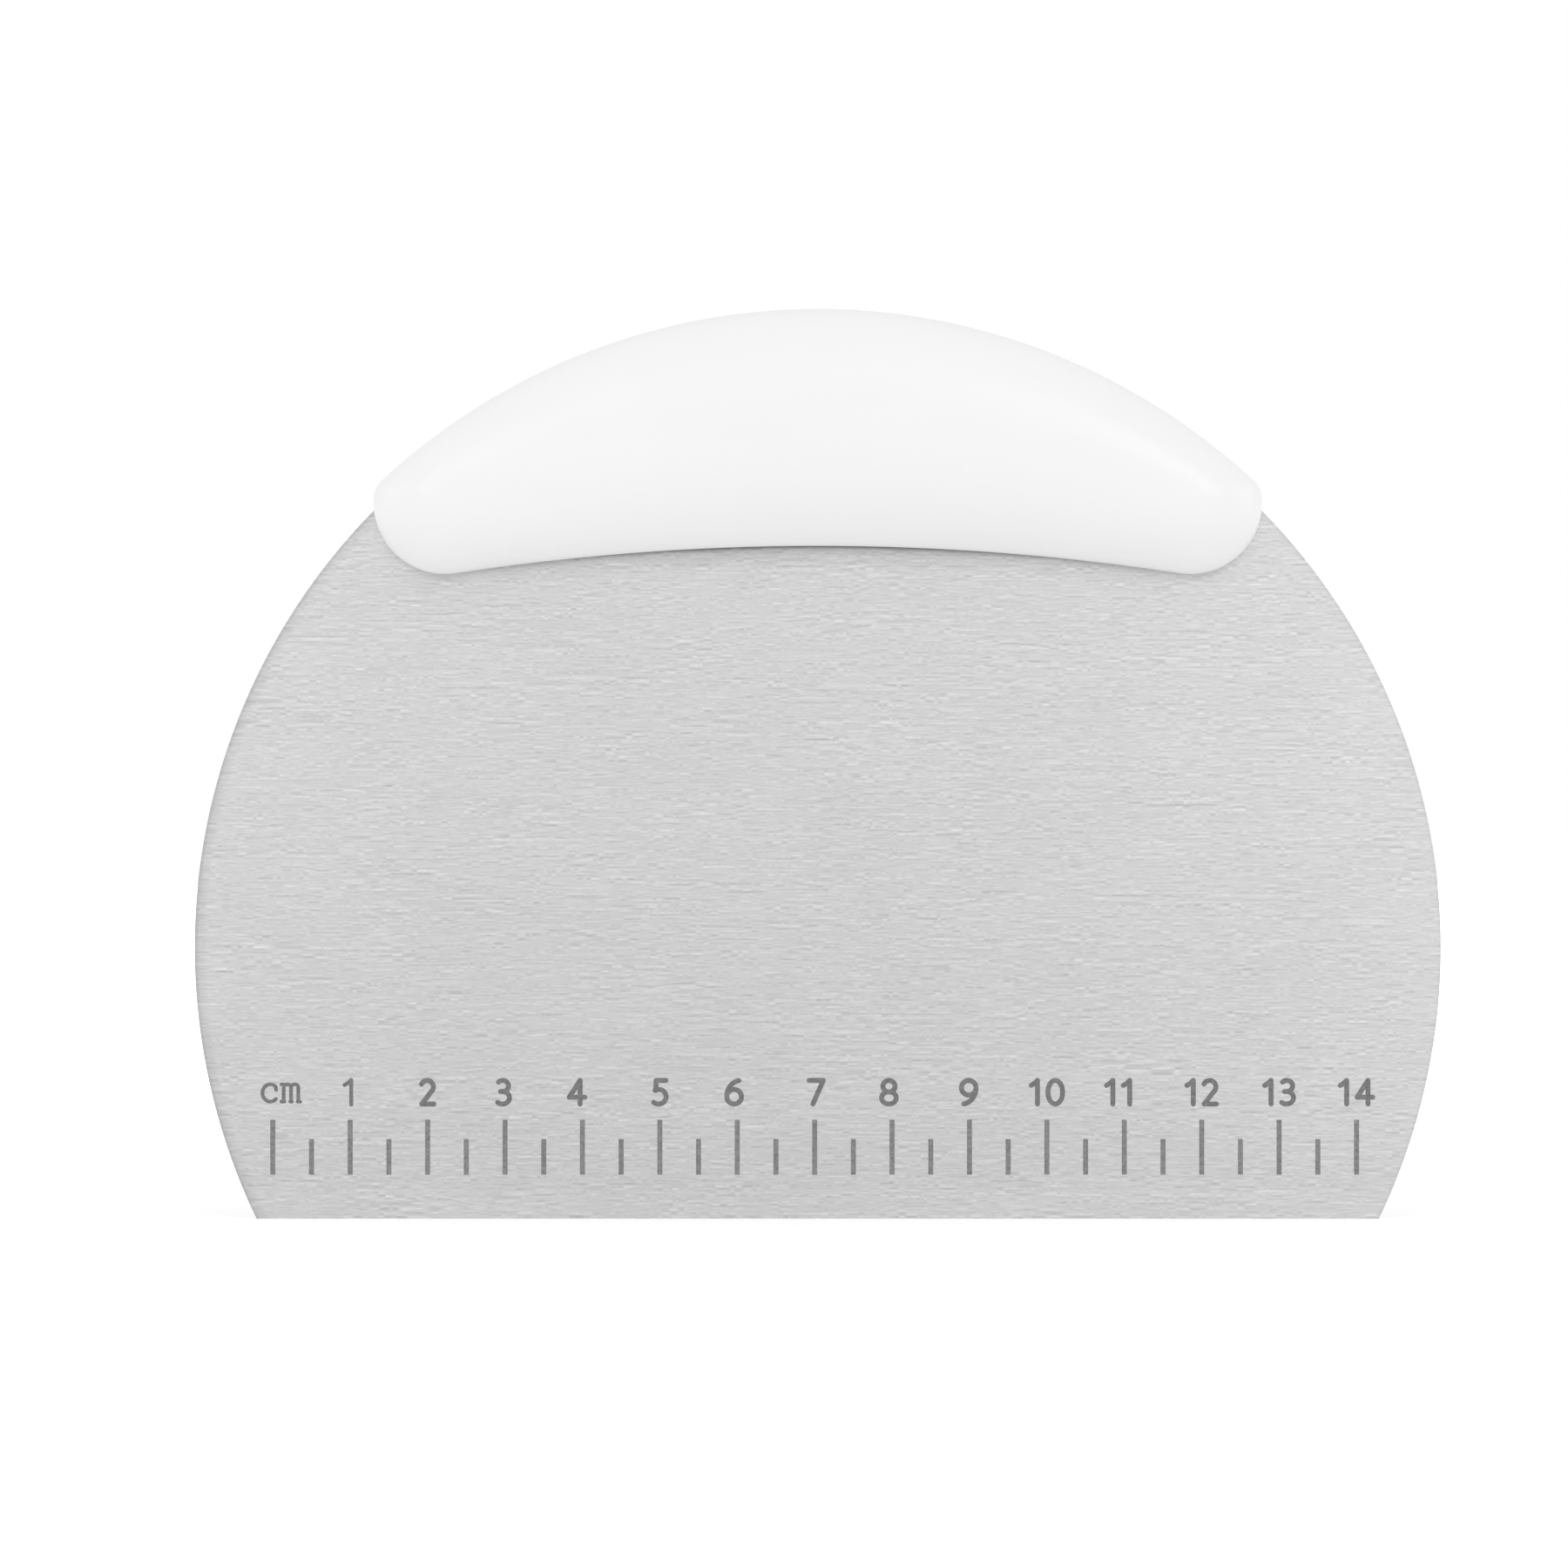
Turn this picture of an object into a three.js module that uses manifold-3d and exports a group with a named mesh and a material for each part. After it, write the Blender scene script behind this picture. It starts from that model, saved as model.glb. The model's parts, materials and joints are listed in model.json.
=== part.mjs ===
// Half-round dough cutter: a sheet steel blade held between the two moulded shells of its handle.
// Millimetres, +Z up. The origin is the middle of the cutting edge, where it meets the board.
// +X runs along the cutting edge, and the face with the scale looks along -Y.

import * as THREE from "three";
import { mergeVertices } from "three/addons/utils/BufferGeometryUtils.js";
import Module from "manifold-3d";

const wasm = await Module();
wasm.setup();

// Blade: a disc of sheet, cut off straight along the cutting edge and ground there on both faces
const BLADE_RADIUS = 80.5;
const BLADE_THICKNESS = 0.8;
const EDGE_DROP = 35; // cutting edge below the middle of the disc
const BEVEL_HEIGHT = 3.7;
const EDGE_LAND = 0.3; // thickness that the bevels leave at the cutting edge

// Scale: lines etched in the blade's front face, a long one at each centimetre and a short one between
const CENTIMETRE = 10;
const SCALE_MARGIN = 2; // least room between the scale and the corners of the cutting edge
const SCALE_SHIFT = -0.4; // middle of the scale from the middle of the cutting edge
const SCALE_FOOT = 5.7; // foot of every line above the cutting edge
const LONG_LINE = 7.1;
const SHORT_LINE = 4.6;
const LINE_WIDTH = 0.65;
const ETCH_DEPTH = 0.1;

// Handle seen from the front: a crescent along the top of the disc
const HANDLE_SPAN = 88; // degrees of the disc that it covers
const HANDLE_RIM = 2; // reach past the edge of the disc
const HANDLE_HEIGHT = 30.6; // at its middle
const LIP_RADIUS = 310; // arch of its lower edge
const SHOULDER_RADIUS = 3.2; // upper corners
const CORNER_RADIUS = 9.2; // lower corners
const END_FLAT = 0.3; // least straight stretch between the two corners of an end

// Handle in section: straight sides at the parting line, then a crown that rises to a ridge
const HANDLE_THICKNESS = 14; // across both shells at the middle of the ridge
const RIDGE_END_THICKNESS = 12; // across both shells at the ends of the ridge
const LIP_THICKNESS = 5.2; // across the straight sides of both shells, along the lip
const TOP_THICKNESS = 1.6; // across the straight sides of both shells, along the top
const RIDGE_STOP = 10; // from each end of the ridge to the end of the handle
const HANDLE_WALL = 2;
const PARTING_GAP = 0.2;

// Roundness of the crown, as the two powers of its section: full towards the top, sloping to the lip
const TOP_POWERS = { spread: 2.6, lift: 2.2 };
const LIP_POWERS = { spread: 2, lift: 1.3 };

// Fixing: pegs on the front shell pass through the blade into sockets in the rear shell
const PEG_COUNT = 3;
const PEG_SPACING = 34;
const PEG_DIAMETER = 5;
const POST_DIAMETER = 9;
const PEG_CLEARANCE = 0.15;
const PEG_END_ROOM = 0.5; // between the end of a peg and the floor of its socket
const BLADE_CLEARANCE = 0.1; // between the blade's faces and the shells
const BLADE_RIM_CLEARANCE = 0.2; // between the edge of the disc and the shells
const RIB_THICKNESS = 1.2;

// Fineness of the faceted surfaces
const FACET = 0.02; // furthest that a chord strays from its arc
const SAME_POINT = 1e-3;
const CROWN_STEPS = 8;
const CROWN_TURN = THREE.MathUtils.degToRad(85); // the rest of the crown is its flat cap
const CUT_PAST = 1; // reach of a cutting body past the face that it opens

const STEEL = new THREE.MeshStandardMaterial({ color: 0xcbcbcb, roughness: 0.43, metalness: 1 });
const FRONT_PLASTIC = new THREE.MeshStandardMaterial({ color: 0xf2f2f1, roughness: 0.35, metalness: 0 });
const REAR_PLASTIC = FRONT_PLASTIC.clone();

// Directions of the tool: along its edge, through its thickness and up to its handle
const ALONG = new THREE.Vector3(1, 0, 0);
const ACROSS = new THREE.Vector3(0, 1, 0);
const UP = new THREE.Vector3(0, 0, 1);

// Places that follow from the driving dimensions
const discMiddle = { x: 0, z: EDGE_DROP };
const rim = { middle: EDGE_DROP, radius: BLADE_RADIUS + HANDLE_RIM };
const lip = { middle: EDGE_DROP + rim.radius - HANDLE_HEIGHT - LIP_RADIUS, radius: LIP_RADIUS };
const halfWidth = rim.radius * Math.sin(THREE.MathUtils.degToRad(HANDLE_SPAN / 2));
const seatDepth = BLADE_THICKNESS / 2 + BLADE_CLEARANCE;
const socketDepth = RIDGE_END_THICKNESS / 2 - HANDLE_WALL;
const pegEnd = socketDepth - PEG_END_ROOM;
const cornerShare = cornerLimit();
const ridge = ridgeArc();
const pegs = pegPlaces();

// Height of an arch above the cutting edge, at a distance from the middle of the tool
function archHeight(arch, x) {
  return arch.middle + Math.sqrt(arch.radius ** 2 - x ** 2);
}

// Share of their radius that the corners of an end can have on the height that the end leaves them
function cornerLimit() {
  const endHeight = archHeight(rim, halfWidth) - archHeight(lip, halfWidth);
  const shoulderAngle = Math.PI - Math.acos(halfWidth / rim.radius);
  const cornerAngle = Math.acos(halfWidth / lip.radius);
  const shoulderRun = SHOULDER_RADIUS / Math.tan(shoulderAngle / 2);
  const cornerRun = CORNER_RADIUS / Math.tan(cornerAngle / 2);
  return Math.min(1, (endHeight - END_FLAT) / (shoulderRun + cornerRun));
}

// The ridge is the arc halfway between the top and the lip
function ridgeArc() {
  const reach = halfWidth - RIDGE_STOP;
  const crest = (archHeight(rim, 0) + archHeight(lip, 0)) / 2;
  const end = (archHeight(rim, reach) + archHeight(lip, reach)) / 2;
  const drop = crest - end;
  const radius = (reach ** 2 + drop ** 2) / (2 * drop);
  const middle = crest - radius;
  return { middle, radius, reach, endAngle: Math.atan2(end - middle, reach) };
}

// The pegs stand side by side on the ridge
function pegPlaces() {
  return Array.from({ length: PEG_COUNT }, (_, i) => {
    const x = (i - (PEG_COUNT - 1) / 2) * PEG_SPACING;
    return { x, z: archHeight(ridge, x) };
  });
}

// Angle of one facet on an arc
function facetAngle(radius) {
  return 2 * Math.acos(1 - FACET / radius);
}

// Points along an arc, both ends included
function arcPoints(x, z, radius, from, to) {
  const count = Math.ceil(Math.abs(to - from) / facetAngle(radius));
  return Array.from({ length: count + 1 }, (_, i) => {
    const angle = from + ((to - from) * i) / count;
    return new THREE.Vector2(x + radius * Math.cos(angle), z + radius * Math.sin(angle));
  });
}

// The handle's outline, drawn in by an inset and listed anticlockwise as seen from the front
function handleOutline(inset) {
  const side = halfWidth - inset;
  const topRadius = rim.radius - inset;
  const lipRadius = lip.radius + inset;
  const shoulder = Math.max(SHOULDER_RADIUS * cornerShare - inset, END_FLAT);
  const corner = Math.max(CORNER_RADIUS * cornerShare - inset, END_FLAT);
  const topAngle = Math.acos((side - shoulder) / (topRadius - shoulder));
  const lipAngle = Math.acos((side - corner) / (lipRadius + corner));
  const shoulderZ = rim.middle + (topRadius - shoulder) * Math.sin(topAngle);
  const cornerZ = lip.middle + (lipRadius + corner) * Math.sin(lipAngle);
  const points = [
    ...arcPoints(side - corner, cornerZ, corner, lipAngle - Math.PI, 0),
    ...arcPoints(side - shoulder, shoulderZ, shoulder, 0, topAngle),
    ...arcPoints(0, rim.middle, topRadius, topAngle, Math.PI - topAngle),
    ...arcPoints(shoulder - side, shoulderZ, shoulder, Math.PI - topAngle, Math.PI),
    ...arcPoints(corner - side, cornerZ, corner, Math.PI, 2 * Math.PI - lipAngle),
    ...arcPoints(0, lip.middle, lipRadius, Math.PI - lipAngle, lipAngle),
  ];
  return points.filter((point, i) => point.distanceTo(points[(i + 1) % points.length]) > SAME_POINT);
}

// A point of the crown, part of the way round the section that rises from an outline point to the ridge
function crownPoint(point, turn, depths) {
  const angle = Math.atan2(point.y - ridge.middle, point.x);
  const along = THREE.MathUtils.clamp(angle, ridge.endAngle, Math.PI - ridge.endAngle);
  const foot = new THREE.Vector2(Math.cos(along), Math.sin(along)).multiplyScalar(ridge.radius);
  foot.y += ridge.middle;
  const upward = (1 + (point.y - foot.y) / point.distanceTo(foot)) / 2;
  const spreadPower = THREE.MathUtils.lerp(LIP_POWERS.spread, TOP_POWERS.spread, upward);
  const liftPower = THREE.MathUtils.lerp(LIP_POWERS.lift, TOP_POWERS.lift, upward);
  const spread = Math.cos(turn) ** (2 / spreadPower);
  const lift = Math.sin(turn) ** (2 / liftPower);
  const side = THREE.MathUtils.lerp(depths.lip, depths.top, upward);
  const crest = THREE.MathUtils.lerp(depths.ridge, depths.ridgeEnd, (foot.x / ridge.reach) ** 2);
  const place = foot.lerp(point, spread);
  return new THREE.Vector3(place.x, -THREE.MathUtils.lerp(side, crest, lift), place.y);
}

// A closed body with straight sides from its base, and a crown towards -Y
function crownedBody(inset, base, depths) {
  const outline = handleOutline(inset);
  const rings = [outline.map((point) => new THREE.Vector3(point.x, base, point.y))];
  for (let step = 0; step <= CROWN_STEPS; step += 1) {
    const turn = (CROWN_TURN * step) / CROWN_STEPS;
    rings.push(outline.map((point) => crownPoint(point, turn, depths)));
  }
  return loft(rings);
}

// Skins rings of equal length with triangles and closes the first and the last ring
function loft(rings) {
  const count = rings[0].length;
  const triangles = [];
  for (let ring = 0; ring < rings.length - 1; ring += 1) {
    for (let i = 0; i < count; i += 1) {
      const next = (i + 1) % count;
      const [a, b] = [ring * count + i, ring * count + next];
      const [c, d] = [b + count, a + count];
      triangles.push(a, b, c, a, c, d);
    }
  }
  const last = (rings.length - 1) * count;
  for (const [a, b, c] of capTriangles(rings[0])) triangles.push(c, b, a);
  for (const [a, b, c] of capTriangles(rings.at(-1))) triangles.push(last + a, last + b, last + c);
  const geometry = new THREE.BufferGeometry().setFromPoints(rings.flat());
  return solid(geometry.setIndex(triangles));
}

// Triangles across a ring, zipped from its right end to its left end between its upper and lower sides
function capTriangles(ring) {
  const order = ring.map((_, i) => i).sort((a, b) => ring[b].x - ring[a].x);
  const [right, left] = [order[0], order.at(-1)];
  const upper = (step) => (right + step) % ring.length;
  const lower = (step) => (right - step + ring.length) % ring.length;
  const upperSteps = (left - right + ring.length) % ring.length;
  const lowerSteps = ring.length - upperSteps;
  const triangles = [];
  let [u, l] = [0, 0];
  while (u < upperSteps || l < lowerSteps) {
    const upperNext = u < upperSteps ? ring[upper(u + 1)].x : -Infinity;
    const lowerNext = l < lowerSteps ? ring[lower(l + 1)].x : -Infinity;
    if (upperNext >= lowerNext) {
      triangles.push([upper(u), upper(u + 1), lower(l)]);
      u += 1;
    } else {
      triangles.push([lower(l + 1), lower(l), upper(u)]);
      l += 1;
    }
  }
  return triangles.filter(([a, b, c]) => a !== b && b !== c && c !== a);
}

// A closed geometry as a body that can be joined and cut
function solid(geometry) {
  geometry.deleteAttribute("normal");
  geometry.deleteAttribute("uv");
  const welded = mergeVertices(geometry, SAME_POINT);
  const vertProperties = new Float32Array(welded.getAttribute("position").array);
  const triVerts = new Uint32Array(welded.getIndex().array);
  return new wasm.Manifold(new wasm.Mesh({ numProp: 3, vertProperties, triVerts }));
}

// A round bar along Y between two depths
function bar(diameter, from, to, place) {
  const radius = diameter / 2;
  const facets = Math.ceil((2 * Math.PI) / facetAngle(radius));
  const geometry = new THREE.CylinderGeometry(radius, radius, to - from, facets);
  return solid(geometry.translate(place.x, (from + to) / 2, place.z));
}

function block(size, middle) {
  return solid(new THREE.BoxGeometry(size.x, size.y, size.z).translate(middle.x, middle.y, middle.z));
}

// The disc is cut to the blade's section: a thin land at the edge, two bevels and parallel faces
function bladeBody() {
  const face = BLADE_THICKNESS / 2;
  const land = EDGE_LAND / 2;
  const above = EDGE_DROP + BLADE_RADIUS + CUT_PAST;
  const section = new THREE.Shape([
    new THREE.Vector2(-land, 0),
    new THREE.Vector2(land, 0),
    new THREE.Vector2(face, BEVEL_HEIGHT),
    new THREE.Vector2(face, above),
    new THREE.Vector2(-face, above),
    new THREE.Vector2(-face, BEVEL_HEIGHT),
  ]);
  const reach = BLADE_RADIUS + CUT_PAST;
  const sheet = new THREE.ExtrudeGeometry(section, { depth: 2 * reach, bevelEnabled: false });
  const alongEdge = new THREE.Matrix4().makeBasis(ACROSS, UP, ALONG);
  let blade = solid(sheet.translate(0, 0, -reach).applyMatrix4(alongEdge));
  blade = blade.intersect(bar(2 * BLADE_RADIUS, -face - CUT_PAST, face + CUT_PAST, discMiddle));
  for (const peg of pegs) {
    const hole = bar(PEG_DIAMETER + 2 * PEG_CLEARANCE, -face - CUT_PAST, face + CUT_PAST, peg);
    blade = blade.subtract(hole);
  }
  return etchScale(blade);
}

// As many whole centimetres as the cutting edge has room for
function etchScale(blade) {
  const halfEdge = Math.sqrt(BLADE_RADIUS ** 2 - EDGE_DROP ** 2);
  const halfRoom = halfEdge - SCALE_MARGIN - Math.abs(SCALE_SHIFT);
  const centimetres = Math.floor((2 * halfRoom) / CENTIMETRE);
  const depth = ETCH_DEPTH + CUT_PAST;
  const y = -BLADE_THICKNESS / 2 + ETCH_DEPTH - depth / 2;
  let etched = blade;
  for (let half = 0; half <= 2 * centimetres; half += 1) {
    const length = half % 2 === 0 ? LONG_LINE : SHORT_LINE;
    const x = SCALE_SHIFT + ((half - centimetres) * CENTIMETRE) / 2;
    const size = new THREE.Vector3(LINE_WIDTH, depth, length);
    etched = etched.subtract(block(size, new THREE.Vector3(x, y, SCALE_FOOT + length / 2)));
  }
  return etched;
}

// A hollow shell with a seat for half the blade, a post behind each peg and ribs between the posts
function shellBody() {
  const outside = crownedBody(0, -PARTING_GAP / 2, {
    lip: LIP_THICKNESS / 2,
    top: TOP_THICKNESS / 2,
    ridge: HANDLE_THICKNESS / 2,
    ridgeEnd: RIDGE_END_THICKNESS / 2,
  });
  const midWall = crownedBody(HANDLE_WALL / 2, -PARTING_GAP / 2, hollowDepths(HANDLE_WALL / 2));
  const hollow = crownedBody(HANDLE_WALL, CUT_PAST, hollowDepths(HANDLE_WALL));
  const seatDiameter = 2 * (BLADE_RADIUS + BLADE_RIM_CLEARANCE);
  const seat = bar(seatDiameter, -seatDepth, CUT_PAST, discMiddle);
  let shell = outside.subtract(hollow);
  for (const peg of pegs) {
    const post = bar(POST_DIAMETER, -HANDLE_THICKNESS, 0, peg);
    shell = shell.add(post.intersect(midWall));
  }
  for (const x of ribPlaces()) {
    const size = new THREE.Vector3(RIB_THICKNESS, HANDLE_THICKNESS, 2 * HANDLE_HEIGHT);
    const rib = block(size, new THREE.Vector3(x, -HANDLE_THICKNESS / 2, archHeight(ridge, 0)));
    shell = shell.add(rib.intersect(midWall));
  }
  return shell.subtract(seat);
}

// The crown at a depth below the shell's own, starting level with the blade's seat
function hollowDepths(below) {
  const ridgeDepth = HANDLE_THICKNESS / 2 - below;
  return { lip: seatDepth, top: seatDepth, ridge: ridgeDepth, ridgeEnd: RIDGE_END_THICKNESS / 2 - below };
}

// One rib halfway between each two pegs
function ribPlaces() {
  return pegs.slice(1).map((peg, i) => (peg.x + pegs[i].x) / 2);
}

function frontShellBody() {
  let shell = shellBody();
  for (const peg of pegs) shell = shell.add(bar(PEG_DIAMETER, -pegEnd, pegEnd, peg));
  return shell;
}

function rearShellBody() {
  let shell = shellBody();
  const diameter = PEG_DIAMETER + 2 * PEG_CLEARANCE;
  for (const peg of pegs) shell = shell.subtract(bar(diameter, -socketDepth, CUT_PAST, peg));
  return shell;
}

function namedMesh(name, body, material) {
  const { vertProperties, triVerts } = body.getMesh();
  const geometry = new THREE.BufferGeometry();
  geometry.setAttribute("position", new THREE.BufferAttribute(vertProperties, 3));
  geometry.setIndex(new THREE.BufferAttribute(triVerts, 1));
  geometry.computeVertexNormals();
  const mesh = new THREE.Mesh(geometry, material);
  mesh.name = name;
  return mesh;
}

// The rear shell is made like the front one and turned half round to face it
const blade = namedMesh("blade", bladeBody(), STEEL);
const handleFront = namedMesh("handle_front", frontShellBody(), FRONT_PLASTIC);
const handleRear = namedMesh("handle_rear", rearShellBody(), REAR_PLASTIC);
handleRear.rotation.z = Math.PI;

const doughCutter = new THREE.Group();
doughCutter.add(blade, handleFront, handleRear);

export default doughCutter;
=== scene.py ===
"""Dresses a half-round dough cutter: a brushed steel blade with an etched scale and a moulded handle.

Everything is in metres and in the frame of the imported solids: +X runs along the cutting edge, the face
with the scale looks along -Y, and +Z is up from the cutting edge to the handle.
"""

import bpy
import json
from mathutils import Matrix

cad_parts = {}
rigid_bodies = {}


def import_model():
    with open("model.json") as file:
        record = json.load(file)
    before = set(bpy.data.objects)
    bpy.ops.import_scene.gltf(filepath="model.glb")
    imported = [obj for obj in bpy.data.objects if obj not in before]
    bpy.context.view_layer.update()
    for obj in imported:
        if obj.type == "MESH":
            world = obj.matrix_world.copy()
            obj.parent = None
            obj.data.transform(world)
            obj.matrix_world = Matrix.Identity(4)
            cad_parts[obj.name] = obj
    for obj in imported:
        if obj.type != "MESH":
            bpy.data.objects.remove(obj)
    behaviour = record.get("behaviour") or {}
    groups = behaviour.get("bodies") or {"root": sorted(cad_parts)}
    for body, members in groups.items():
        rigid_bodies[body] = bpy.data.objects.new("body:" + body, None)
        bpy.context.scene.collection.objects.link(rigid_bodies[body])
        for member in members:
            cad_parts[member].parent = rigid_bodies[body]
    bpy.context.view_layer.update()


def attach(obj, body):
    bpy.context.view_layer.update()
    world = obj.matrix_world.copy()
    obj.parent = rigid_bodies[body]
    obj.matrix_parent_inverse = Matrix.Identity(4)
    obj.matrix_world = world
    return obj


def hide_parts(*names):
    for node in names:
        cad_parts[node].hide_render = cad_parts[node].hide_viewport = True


bl_info = {
    "name": "Dough cutter",
    "version": (1, 0, 0),
    "blender": (4, 5, 0),
    "location": "View3D > Sidebar > Dough cutter",
    "description": "Makes a half-round dough cutter with an etched scale and a moulded handle",
    "category": "Add Mesh",
}

import json
import math

import bmesh
import bpy
import numpy as np
from bpy.props import FloatProperty, FloatVectorProperty, IntProperty, PointerProperty
from mathutils import Matrix, Vector

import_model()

BODY = "root"
CENTIMETRE = 0.01
WHITE = (1, 1, 1, 1)
WELD = 1e-6  # points closer than this are one point
CUT_PAST = 0.001  # reach of a cutting body past the face that it opens
CREASE = math.radians(30)  # faces that meet at a wider turn keep a sharp edge between them
BAR_FACETS = 96  # facets of a peg, a post or a hole
SEAT_FACETS = 720  # facets of the round seat for the blade


def metres(name, description, default):
    """A length that a user can change."""
    return FloatProperty(name=name, description=description, default=default, unit="LENGTH")


class BladeSizes(bpy.types.PropertyGroup):
    """Sheet steel: a disc cut off straight along the cutting edge and ground there on both faces"""

    radius: metres("Radius", "Radius of the round outline", 0.0805)
    thickness: metres("Thickness", "Thickness of the sheet", 0.0008)
    edge_drop: metres("Edge drop", "Cutting edge below the middle of the disc", 0.035)
    bevel_height: metres("Bevel height", "Height of the ground bevels", 0.0037)
    edge_land: metres("Edge land", "Thickness left at the cutting edge", 0.0003)
    deburr: metres("Deburr", "Size of the broken corners round the rim", 0.00007)
    rim_facets: IntProperty(
        name="Rim facets", description="Facets of the round rim", default=320, min=24)
    # Painted shade: a darker band along the rim, full at the left and gone at the right
    dull_rim: metres("Dull rim", "Width of the duller band along the rim", 0.0016)
    # A dark line along the rim, half of it even all round and half painted shade that grows to the left
    burr: metres("Burr", "Width of the dark line along the rim", 0.0005)
    # Painted shadow: a thin dark line on the steel right under the handle's lip
    dull_joint: metres("Dull joint", "Width of the dark line under the handle's lip", 0.00045)
    # Painted shade: a soft darker band on the steel under the handle's lip, where the lip's shadow falls
    dull_shade: metres("Dull shade", "Width of the duller band under the lip", 0.003)


class ScaleSizes(bpy.types.PropertyGroup):
    """Etched scale: a long line at each centimetre, a short one between, and numerals above"""

    centimetres: IntProperty(
        name="Centimetres", description="Whole centimetres on the scale", default=14, min=1, max=14)
    shift: metres("Shift", "Middle of the scale from the middle of the edge", -0.0004)
    foot: metres("Foot", "Foot of the lines above the cutting edge", 0.0057)
    long_line: metres("Long line", "Length of a centimetre line", 0.0071)
    short_line: metres("Short line", "Length of a half centimetre line", 0.0046)
    line_width: metres("Line width", "Width of the lines", 0.00065)
    numeral_foot: metres("Numeral foot", "Foot of the numerals above the edge", 0.0145)
    numeral_height: metres("Numeral height", "Height of the numerals", 0.0037)
    numeral_stroke: metres("Numeral stroke", "Width of the numerals' strokes", 0.00065)
    lone_stroke: metres("Lone stroke", "Width of the finer strokes of the 1 that stands alone", 0.00051)
    numeral_gap: metres("Numeral gap", "Gap between two numerals side by side", 0.0007)
    unit_height: metres("Unit height", "Height of the unit mark's letters", 0.0027)
    unit_stroke: metres("Unit stroke", "Width of the unit mark's strokes", 0.00048)
    etch_depth: metres("Etch depth", "Depth of the etching in the sheet", 0.0001)
    etch_hollow: metres("Etch hollow", "Dark floor of the etching below the face", 0.00004)


class HandleSizes(bpy.types.PropertyGroup):
    """Two moulded shells that hold the top of the disc between them"""

    span: FloatProperty(
        name="Span", description="Part of the disc that it covers", default=math.radians(88), unit="ROTATION")
    rim: metres("Rim", "Reach past the edge of the disc", 0.002)
    height: metres("Height", "Height at its middle", 0.0306)
    lip_radius: metres("Lip radius", "Arch of its lower edge", 0.310)
    shoulder_radius: metres("Shoulder radius", "Roundness of its upper corners", 0.0032)
    corner_radius: metres("Corner radius", "Roundness of its lower corners", 0.0092)
    thickness: metres("Thickness", "Both shells at the middle of the ridge", 0.014)
    ridge_end_thickness: metres("Ridge end thickness", "Both shells at the ridge's ends", 0.012)
    ridge_stop: metres("Ridge stop", "End of the ridge to the end of the handle", 0.010)
    lip_thickness: metres("Lip thickness", "Straight sides of both shells at the lip", 0.0052)
    top_thickness: metres("Top thickness", "Straight sides of both shells at the top", 0.0016)
    wall: metres("Wall", "Thickness of the shells' walls", 0.002)
    parting_gap: metres("Parting gap", "Gap between the shells", 0.00006)
    parting_break: metres("Parting break", "Broken edge of each shell at the gap", 0.00016)
    lip_break: metres("Lip break", "Broken edge of each shell under the lip", 0.0013)


class FixingSizes(bpy.types.PropertyGroup):
    """Pegs of the front shell that pass through the blade into sockets of the rear shell"""

    pegs: IntProperty(
        name="Pegs", description="Pegs side by side on the ridge", default=3, min=2)
    spacing: metres("Spacing", "Distance between the pegs", 0.034)
    peg_diameter: metres("Peg diameter", "Diameter of the pegs", 0.005)
    post_diameter: metres("Post diameter", "Diameter of the posts behind them", 0.009)
    clearance: metres("Clearance", "Room round a peg", 0.00015)
    end_room: metres("End room", "End of a peg to the floor of its socket", 0.0005)
    seat_clearance: metres("Seat clearance", "Room on each face of the blade", 0.0001)
    rim_clearance: metres("Rim clearance", "Room round the edge of the disc", 0.0002)
    rib_thickness: metres("Rib thickness", "Ribs between the posts", 0.0012)


class Finishes(bpy.types.PropertyGroup):
    """Colours of the pieces and the stage"""

    steel: FloatVectorProperty(
        name="Steel", description="Brushed stainless steel",
        default=(0.588, 0.588, 0.588), subtype="COLOR", min=0, max=1)
    etched_line: FloatVectorProperty(
        name="Etched line", description="Dark floor of the scale's lines",
        default=(0.23, 0.23, 0.23), subtype="COLOR", min=0, max=1)
    etched_word: FloatVectorProperty(
        name="Etched word", description="Dark floor of the numerals and the unit mark",
        default=(0.185, 0.185, 0.185), subtype="COLOR", min=0, max=1)
    plastic: FloatVectorProperty(
        name="Plastic", description="White moulded plastic",
        default=(0.87, 0.87, 0.868), subtype="COLOR", min=0, max=1)
    floor: FloatVectorProperty(
        name="Floor", description="Pale floor",
        default=(0.88, 0.88, 0.88), subtype="COLOR", min=0, max=1)


class StageSizes(bpy.types.PropertyGroup):
    """Camera, floor and light"""

    camera_distance: metres("Camera distance", "Camera to the blade", 1.2)
    view_width: metres("View width", "Width that the picture takes in at the blade", 0.20263)
    view_middle: FloatVectorProperty(
        name="View middle", description="Point of the blade's plane at the picture's middle",
        default=(-0.00436, 0.0, 0.05617), subtype="TRANSLATION", unit="LENGTH")
    floor_size: metres("Floor size", "Side of the floor", 8.0)
    sky_light: FloatProperty(
        name="Sky light", description="Light from all round on matt surfaces, where 1 is white",
        default=0.84, subtype="FACTOR", min=0, max=1)
    floor_fill: FloatProperty(
        name="Floor fill", description="Light that makes the lit floor up to white in the picture",
        default=0.27, subtype="FACTOR", min=0, max=1)


class DoughCutterSettings(bpy.types.PropertyGroup):
    """Everything that can be changed before the pieces are made"""

    blade: PointerProperty(type=BladeSizes)
    scale: PointerProperty(type=ScaleSizes)
    handle: PointerProperty(type=HandleSizes)
    fixing: PointerProperty(type=FixingSizes)
    finish: PointerProperty(type=Finishes)
    stage: PointerProperty(type=StageSizes)


# Node trees

SOCKET_KINDS = {
    "length": ("NodeSocketFloat", "DISTANCE"),
    "number": ("NodeSocketFloat", "NONE"),
    "count": ("NodeSocketInt", "NONE"),
    "finish": ("NodeSocketMaterial", None),
}


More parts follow.
